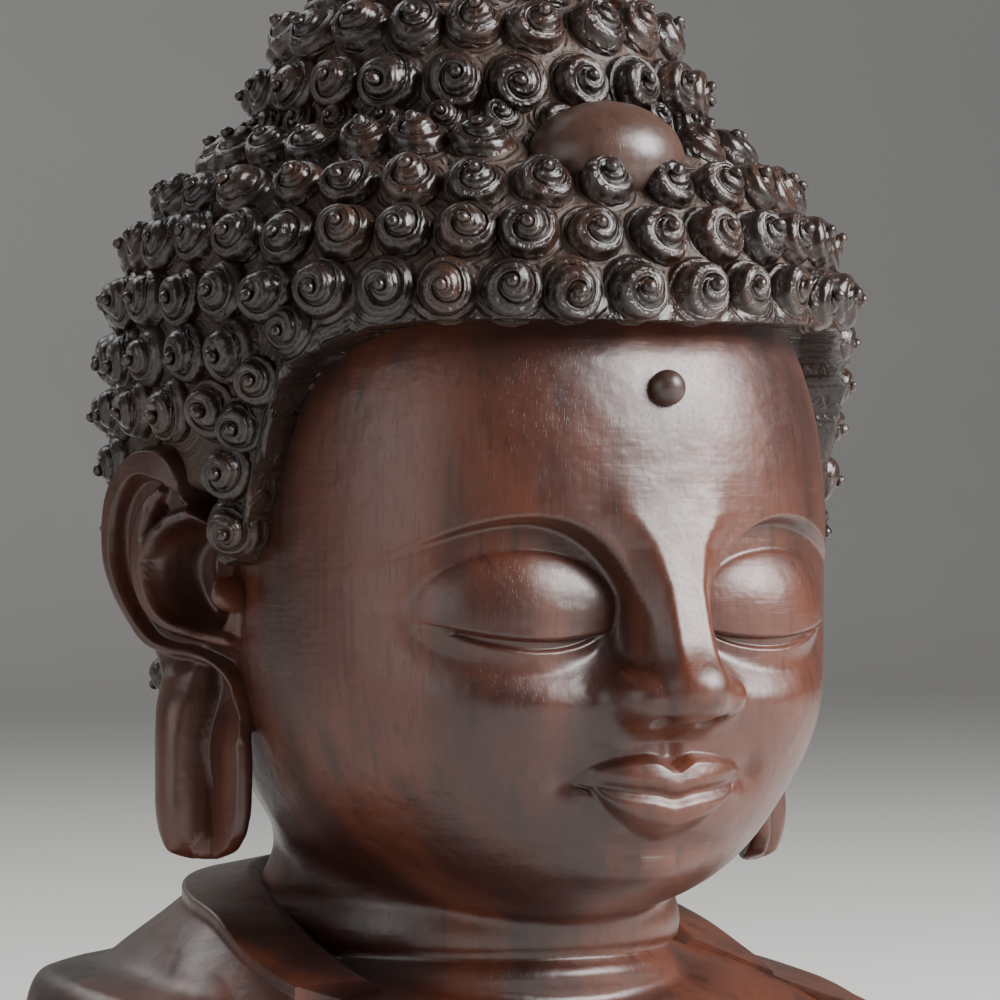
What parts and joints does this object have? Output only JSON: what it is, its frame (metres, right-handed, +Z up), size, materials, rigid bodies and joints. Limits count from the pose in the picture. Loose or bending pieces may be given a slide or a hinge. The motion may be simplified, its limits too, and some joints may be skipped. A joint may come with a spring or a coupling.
{
  "type": "carved wooden buddha head bust",
  "caption": "Dark rosewood bust of a serene Buddha head with snail-shell curls, long ears, ringed neck and draped shoulders, cut flat below.",
  "frame": {"origin": "middle of the flat underside", "axes": "+Z up through the crown, -Y the way the face looks, +X towards the figure's left ear"},
  "size_m": [0.1917, 0.1786, 0.25],
  "materials": {
    "rosewood": "dark red-brown rosewood, carved, oiled and polished to a satin sheen, darker in the hair"
  },
  "bodies": {
    "root": {"carved_bust": "rosewood"}
  },
  "joints": []
}
